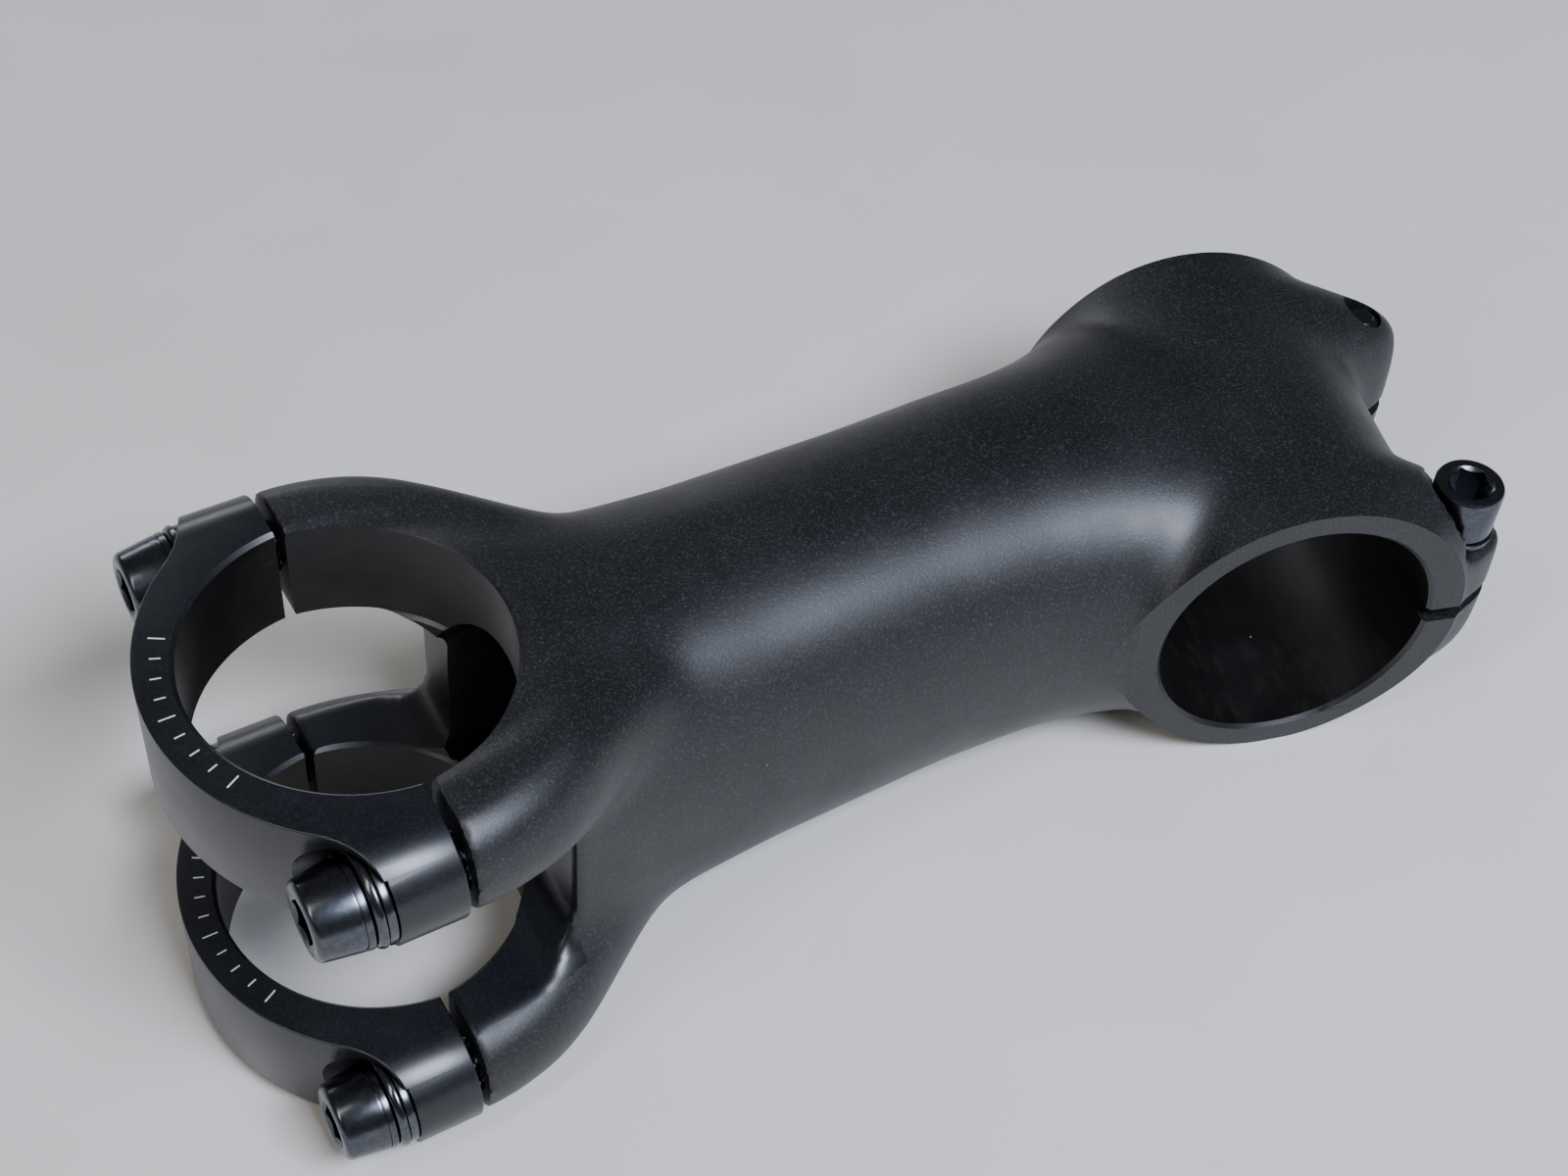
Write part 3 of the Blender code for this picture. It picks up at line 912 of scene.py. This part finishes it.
@dataclass
class Caps:
    """The two half-ring caps, each with a boss at either end and angle marks on its upper face.

    Attributes:
        outer: Radius of the caps' outer sides, which are flatter than their bores.
        outer_middle: Middle of that curve, along the arm.
        seat: Radius of the washers' seats.
        edge: Radius of the caps' rounded edges.
        mark_step: Angle between neighbouring angle marks, in degrees.
        mark_depth: How deep the marks are burnt in.
        mark_half: Half the marks' width.
        long_mark: Where a long mark starts and ends, from the bore's axis.
        short_mark: Where a short one does.
    """

    outer: float = 22.2 * MM
    outer_middle: float = 5.4 * MM
    seat: float = 5.15 * MM
    edge: float = 0.5 * MM
    mark_step: float = 7.5
    mark_depth: float = 0.04 * MM
    mark_half: float = 0.09 * MM
    long_mark: Pair = (16.85 * MM, 18.35 * MM)
    short_mark: Pair = (17.0 * MM, 18.0 * MM)

    def blank(self) -> bpy.types.Object:
        """Draw a cap before it is bored: a half ring that flares into a round-ended boss at each end.

        Returns:
            The blank, in its ring's frame.
        """
        half, face = SIZES.ring_width / 2, SIZES.boss_face
        curve = ((-9.3, -16.6), (-8.4, -17.4), (-7.6, -18.3), (-6.9, -19.4), (-6.3, -20.6), (-5.8, -22.0))
        flare = [(s * MM, n * MM) for s, n in curve] + [(face, -24.6 * MM)]
        outline = [(SIZES.split_cap, 30 * MM), (face, 30 * MM)] + [(s, -n) for s, n in reversed(flare)]
        outline += arc((self.outer_middle, 0), self.outer, 132, 228, 72)[1:-1]
        outline += flare + [(face, -30 * MM), (SIZES.split_cap, -30 * MM)]
        cap = swept("cap", [[(s, n, z) for s, n in outline] for z in (-half, half)])
        middle = SIZES.boss_end - half
        profile = arc((-middle, 0), half, 90, 270, 32) + arc((middle, 0), half, -90, 90, 32)
        ends = swept("ends", [[(s, n, z) for n, z in profile] for s in (-30 * MM, 10 * MM)])
        carve(cap, ends, "INTERSECT", Solver.EXACT)
        return cap

    def machine(self, cap: bpy.types.Object) -> None:
        """Round a cap's edges, bore it and cut its seats and bolt holes.

        Args:
            cap: The blank.
        """
        soften_edges(cap, self.edge)
        half = SIZES.ring_width / 2
        profile = chamfered(SIZES.bar_bore, half, SIZES.chamfer, half + 5 * MM)
        bore = swept("bore", circles(profile, 160))
        place = Matrix.Translation((SIZES.draw_in, 0, 0)) @ Matrix.Rotation(-math.pi / 2, 4, "Y")
        carve(cap, settle(bore, place))
        face, hole, lead = SIZES.boss_face, CapBolts.shank + SIZES.clearance, 0.3 * MM
        profile = [(-30 * MM, self.seat), (face, self.seat), (face, hole + lead)]
        profile += [(face + lead, hole), (5 * MM, hole)]
        for side in Side:
            place = Matrix.Translation((0, side.value * SIZES.cap_bolt_offset, 0))
            carve(cap, settle(swept("seat", circles(profile, 96)), place))

    def mark(self, cap: bpy.types.Object) -> None:
        """Burn the angle marks into a cap's upper face: long ones at both ends and the middle.

        Args:
            cap: The machined cap.
        """
        top = SIZES.ring_width / 2
        for step in range(-4, 5):
            inner, outer = self.long_mark if step % 4 == 0 else self.short_mark
            low = (-outer, -self.mark_half, top - self.mark_depth)
            line = block("mark", low, (-inner, self.mark_half, top + MM))
            turn = Matrix.Rotation(math.radians(step * self.mark_step), 4, "Z")
            settle(line, Matrix.Translation((SIZES.draw_in, 0, 0)) @ turn)
            carve(cap, line, solver=Solver.EXACT)

    def build(self) -> None:
        """Make both caps."""
        cap = self.blank()
        self.machine(cap)
        self.mark(cap)
        paint(cap, SATIN_WITH_PAINTED_SKY_TINT.make(), BORED.make(), LASER_MARK.make())
        floor = SIZES.ring_width / 2 - self.mark_depth
        for face in cap.data.polygons:
            off = math.hypot(face.center.x - SIZES.draw_in, face.center.y) - SIZES.bar_bore
            if abs(off) < 0.05 * MM:
                face.material_index = 1
            elif abs(face.center.z - floor) < 0.001 * MM and face.normal.z > 0.9:
                face.material_index = 2
        twin = copy_of(cap, "lower_cap")
        cap.name = cap.data.name = "upper_cap"
        for piece, level in ((cap, Level.UPPER), (twin, Level.LOWER)):
            settle(piece, SIZES.ring_frame(level))
            shade(piece)
            name = level.name.lower()
            hand_over(piece, f"bar_cap_{name}", f"cap_{name}")


# --- Bolts and washers.


def thread(start: float, end: float, radius: float, pitch: float, count: int = 40) -> list[Ring]:
    """Rings that draw a screw thread along the first axis.

    Args:
        start: Where the thread starts.
        end: Where it ends.
        radius: Its outer radius.
        pitch: Its pitch.
        count: How many points go round it.

    Returns:
        The rings, close enough together to show each turn.
    """
    depth, per_turn = 0.54 * pitch, 8
    steps = max(2, round((end - start) / pitch * per_turn))
    rings = []
    for step in range(steps + 1):
        along = start + (end - start) * step / steps
        fade = min(1.0, (along - start) / pitch, (end - along) / pitch)
        ring = []
        for place in range(count):
            turn = place / count
            tooth = abs(2 * ((along / pitch - turn) % 1.0) - 1)
            r = radius - depth * max(0.0, fade) * min(1.0, 1.15 * tooth)
            ring.append((along, r * math.cos(2 * math.pi * turn), r * math.sin(2 * math.pi * turn)))
        rings.append(ring)
    return rings


def cut_socket(bolt: bpy.types.Object, flats: float, mouth: float, floor: float) -> None:
    """Cut a hexagon socket with a chamfered mouth into a bolt's head.

    Args:
        bolt: The bolt.
        flats: The hexagon's size across its flats.
        mouth: Where the head's end is along the first axis.
        floor: Where the socket ends.
    """
    corner = flats / 2 / math.cos(math.pi / 6)
    out = math.copysign(MM, mouth - floor)
    carve(bolt, swept("socket", circles([(floor, corner), (mouth + out, corner)], 6)))
    lead = [(mouth - 0.3 * out, flats / 2), (mouth, corner + 0.12 * MM), (mouth + out, corner + 0.9 * MM)]
    carve(bolt, swept("lead_in", circles(lead, 48)))


def washer(name: str, profile: Sequence[Pair], hole: float) -> bpy.types.Object:
    """Draw a washer on its own axis.

    Args:
        name: Its name.
        profile: The (along, radius) pairs of its outer side.
        hole: Its hole's radius.

    Returns:
        The washer.
    """
    piece = swept(name, circles(profile, 72))
    low, high = profile[0][0] - MM, profile[-1][0] + MM
    carve(piece, swept("hole", circles([(low, hole), (high, hole)], 72)))
    return piece


@dataclass
class CapBolts:
    """The four cap bolts, which have tapered heads, each with a dished and a flat washer.

    Attributes:
        shank: Radius of the thread.
        end: Where a bolt ends, along the arm.
        tip: Where its head's face is.
        base: Where its head ends at the washers.
        socket: The hexagon's size across its flats.
        pitch: The thread's pitch.
    """

    shank: float = 2.5 * MM
    end: float = 7.0 * MM
    tip: float = -12.0 * MM
    base: float = -7.2 * MM
    socket: float = 4.0 * MM
    pitch: float = 0.8 * MM

    def bolt(self) -> bpy.types.Object:
        """Draw a bolt on its own axis, whose first axis points into the body.

        Returns:
            The bolt.
        """
        tip, base = self.tip, self.base
        head = [(0.0, 3.15), (0.1, 3.4), (0.28, 3.6), (0.5, 3.7), (3.86, 4.18), (3.9, 4.06), (4.06, 4.06),
                (4.1, 4.21), (4.5, 4.28), (4.68, 4.26), (4.8, 4.1)]
        profile = [(tip + along * MM, radius * MM) for along, radius in head]
        profile += [(base, self.shank), (-3.0 * MM, self.shank)]
        tail = [(self.end - 0.3 * MM, self.shank - 0.5 * MM), (self.end, self.shank - 0.8 * MM)]
        count = 64
        turns = thread(-2.9 * MM, self.end - 0.5 * MM, self.shank, self.pitch, count)
        bolt = swept("cap_bolt", circles(profile, count) + turns + circles(tail, count))
        cut_socket(bolt, self.socket, tip, tip + 3.2 * MM)
        return bolt

    def build(self) -> None:
        """Make the bolts and their washers."""
        steel, plated = OXIDE.make(), PLATED.make()
        hole = self.shank + SIZES.clearance
        dished = [(-7.1, 4.12), (-7.02, 4.25), (-6.85, 4.42), (-6.6, 4.55), (-6.4, 4.58), (-6.28, 4.54)]
        dished.append((-6.25, 4.46))
        flat = [(-6.15, 4.28), (-6.09, 4.37), (-5.98, 4.4), (-5.47, 4.4), (-5.36, 4.37), (-5.3, 4.28)]
        bolt = self.bolt()
        washers = [washer("dished", [(s * MM, r * MM) for s, r in dished], hole),
                   washer("flat", [(s * MM, r * MM) for s, r in flat], hole)]
        paint(bolt, steel)
        for piece in washers:
            paint(piece, plated)
        for level in Level:
            for side in Side:
                place = f"{level.name.lower()}_{side.name.lower()}"
                kinds = ((bolt, "cap_bolt", "bolt", "black_steel"),
                         (washers[0], "dished_washer", "washers", "dark_steel"),
                         (washers[1], "flat_washer", "washers", "dark_steel"))
                for master, node, body, slot in kinds:
                    piece = copy_of(master, f"{node}_piece_{place}")
                    turn = Matrix.Rotation(math.radians(17 * level.value + 11 * side.value), 4, "X")
                    settle(piece, SIZES.cap_bolt_frame(level, side) @ turn)
                    shade(piece)
                    hand_over(piece, f"{node}_{place}", f"{body}_{place}")
        for master in (bolt, *washers):
            bpy.data.objects.remove(master)


@dataclass
class SteererBolts:
    """The two bolts that close the steerer clamp from opposite sides, each with a thin washer.

    Attributes:
        shank: Radius of the thread.
        head: Radius of the head.
        head_height: Its height.
        end: Height of the thread's end, below the split.
        socket: The hexagon's size across its flats.
        pitch: The thread's pitch.
    """

    shank: float = 2.0 * MM
    head: float = 3.55 * MM
    head_height: float = 5.4 * MM
    end: float = -10.8 * MM
    socket: float = 4.0 * MM
    pitch: float = 0.7 * MM

    def build(self) -> None:
        """Make the bolts and their washers."""
        steel, plated = OXIDE.make(), PLATED.make()
        under = SIZES.lug_seat + MM
        top = under + self.head_height
        tail = [(self.end, self.shank - 0.7 * MM), (self.end + 0.3 * MM, self.shank - 0.4 * MM)]
        edge = 0.35 * MM
        head = [(under, self.shank), (under, self.head - 0.15 * MM), (under + 0.15 * MM, self.head),
                (top - edge, self.head), (top - 0.1 * MM, self.head - 0.14 * MM), (top, self.head - edge)]
        count = 64
        rings = circles(tail, count) + thread(self.end + 0.5 * MM, 1.5 * MM, self.shank, self.pitch, count)
        bolt = swept("steerer_bolt", rings + circles([(1.6 * MM, self.shank)] + head, count))
        cut_socket(bolt, self.socket, top, top - 2.6 * MM)
        paint(bolt, steel)
        gap = 0.1 * MM
        low, high, rim = SIZES.lug_seat + gap, under - gap, self.head + 0.25 * MM
        profile = [(low, rim - gap), (low + gap, rim), (high - gap, rim), (high, rim - gap)]
        ring = washer("thin", profile, self.shank + SIZES.clearance)
        paint(ring, plated)
        for side in Side:
            name = side.name.lower()
            for master, node, body, slot in ((bolt, "steerer_bolt", "bolt", "black_steel"),
                                             (ring, "steerer_washer", "washer", "dark_steel")):
                piece = copy_of(master, f"{node}_piece_{name}")
                settle(piece, SIZES.steerer_bolt_frame(side))
                shade(piece)
                hand_over(piece, f"{node}_{name}", f"{body}_{name}")
        for master in (bolt, ring):
            bpy.data.objects.remove(master)


# --- The studio.


@dataclass
class Softbox:
    """A soft rectangular light.

    Attributes:
        name: Its name.
        place: Where it is, from the origin.
        size: Its width and height.
        power: Its power in watts.
        color: Its hex color.
    """

    name: str
    place: Point
    size: tuple[float, float]
    power: float
    color: str = "#ffffff"

    def build(self, target: Vector) -> None:
        """Hang the light and point it at something.

        Args:
            target: The point that it shines at.
        """
        light = bpy.data.lights.new(self.name, "AREA")
        light.shape = "RECTANGLE"
        light.size, light.size_y = self.size
        light.energy = self.power
        light.color = linear(self.color)[:3]
        holder = bpy.data.objects.new(self.name, light)
        holder.location = self.place
        holder.rotation_euler = (target - Vector(self.place)).to_track_quat("-Z", "Y").to_euler()
        bpy.context.scene.collection.objects.link(holder)


@dataclass
class Studio:
    """The floor, the lights and the camera.

    Attributes:
        eye: Where the camera is, from the row's origin.
        right: The view's right-hand direction.
        up: The view's upward direction.
        lens: The camera's focal length in millimetres, on a 36 mm sensor.
        tilt: How much the floor rises towards the steerer end, on which the tapered stem lies.
        glow: Strength of the light that comes from all round.
        lights: The softboxes.
    """

    eye: Point = (-52.86 * MM, -150.39 * MM, 204.70 * MM)
    right: Point = (0.97203, -0.22760, 0.05799)
    up: Point = (0.12972, 0.72605, 0.67529)
    lens: float = 56.25
    tilt: float = math.radians(3.6)
    glow: float = 0.12
    lights: list[Softbox] = field(default_factory=lambda: [
        Softbox("key", (0.16, -0.36, 0.56), (0.30, 0.20), 7.0, "#e2eaff"),
        Softbox("left_strip", (-0.40, -0.22, 0.46), (0.08, 0.40), 0.9, "#fffaf2"),
        Softbox("far_rim", (-0.20, 0.60, 0.22), (0.50, 0.08), 0.8, "#f3f6ff"),
    ])

    def floor(self) -> None:
        """Lay the pale board that the stem lies on: under the lower ring's inner edge and the barrel."""
        deselect_all()
        bpy.ops.mesh.primitive_plane_add(size=6.0)
        board = bpy.context.active_object
        board.name = "studio_board"
        board.data.materials.append(STUDIO_BOARD.make())
        lowest = Vector(SIZES.stem_frame.translation) + Vector((-76 * MM, 0, -SIZES.half_width))
        lowest.z -= 0.05 * MM
        settle(board, Matrix.Translation(lowest) @ Matrix.Rotation(-self.tilt, 4, "Y"))

    def camera(self) -> None:
        """Set up the camera."""
        right, up = Vector(self.right).normalized(), Vector(self.up).normalized()
        back = right.cross(up).normalized()
        up = back.cross(right)
        turn = Matrix((right, up, back)).transposed().to_4x4()
        data = bpy.data.cameras.new("camera")
        data.lens, data.sensor_width = self.lens, 36.0
        data.clip_start, data.clip_end = MM, 20.0
        camera = bpy.data.objects.new("camera", data)
        camera.matrix_world = Matrix.Translation(self.eye) @ turn
        bpy.context.scene.collection.objects.link(camera)
        bpy.context.scene.camera = camera

    def build(self) -> None:
        """Set up the whole studio."""
        self.camera()
        self.floor()
        target = Vector(((CAD_BOX[0][0] + CAD_BOX[1][0]) / 2, 0, 0.02))
        for light in self.lights:
            light.build(target)
        world = bpy.data.worlds.new("studio")
        world.use_nodes = True
        background = world.node_tree.nodes["Background"]
        background.inputs["Color"].default_value = linear("#e9ecf0")
        background.inputs["Strength"].default_value = self.glow
        bpy.context.scene.world = world


def main() -> None:
    """Build the studio and every piece of the stem."""
    logging.basicConfig(level=logging.INFO, format="%(message)s")
    for part in (Studio(), Forging(), Caps(), CapBolts(), SteererBolts()):
        part.build()
        LOG.info("%s is built", type(part).__name__)


if __name__ == "__main__":
    main()
